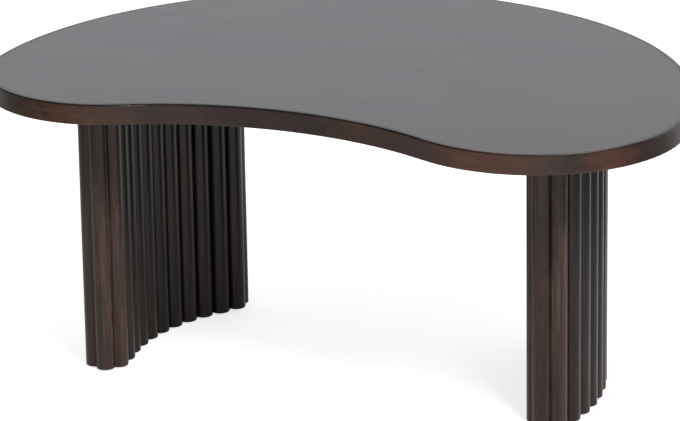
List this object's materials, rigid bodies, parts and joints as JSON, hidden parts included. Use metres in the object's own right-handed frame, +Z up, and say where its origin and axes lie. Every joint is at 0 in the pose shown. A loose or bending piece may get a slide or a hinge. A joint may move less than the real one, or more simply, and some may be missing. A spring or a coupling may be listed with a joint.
{
  "type": "coffee table",
  "caption": "Low kidney-shaped coffee table with a banded veneered top on two curved legs clad in upright half-round slats.",
  "frame": {"origin": "on the floor, under the middle of the top's bounding rectangle", "axes": "+X along the length of the top towards the wider lobe, +Y from the hollow front edge to the bowed back edge, +Z up"},
  "size_m": [0.907, 0.6248, 0.4],
  "materials": {
    "top_veneer": "dark walnut veneer, straight grain, satin lacquer",
    "edge_wood": "dark reddish walnut, satin lacquer",
    "slat_wood": "near-black stained wood, satin lacquer",
    "core_board": "raw board, hidden",
    "leg_core_wood": "solid wood, stained near-black on its ends",
    "beech": "raw beech, hidden",
    "zinc_steel": "zinc-plated steel, hidden",
    "glide_plastic": "black nylon, matte"
  },
  "bodies": {
    "root": {"bolt_washers": "zinc_steel", "edge_band": "edge_wood", "glide_nails": "zinc_steel", "glide_pads": "glide_plastic", "left_leg_core": "leg_core_wood", "left_leg_front_nose": "slat_wood", "left_leg_head_plate": "zinc_steel", "left_leg_inner_slats": "slat_wood", "left_leg_outer_slats": "slat_wood", "left_leg_rear_nose": "slat_wood", "leg_bolts": "zinc_steel", "nose_dowels": "beech", "plate_screws": "zinc_steel", "right_leg_core": "leg_core_wood", "right_leg_front_nose": "slat_wood", "right_leg_head_plate": "zinc_steel", "right_leg_inner_slats": "slat_wood", "right_leg_outer_slats": "slat_wood", "right_leg_rear_nose": "slat_wood", "threaded_inserts": "zinc_steel", "top_core": "core_board", "top_face_veneer": "top_veneer", "underside_veneer": "top_veneer"}
  },
  "joints": []
}
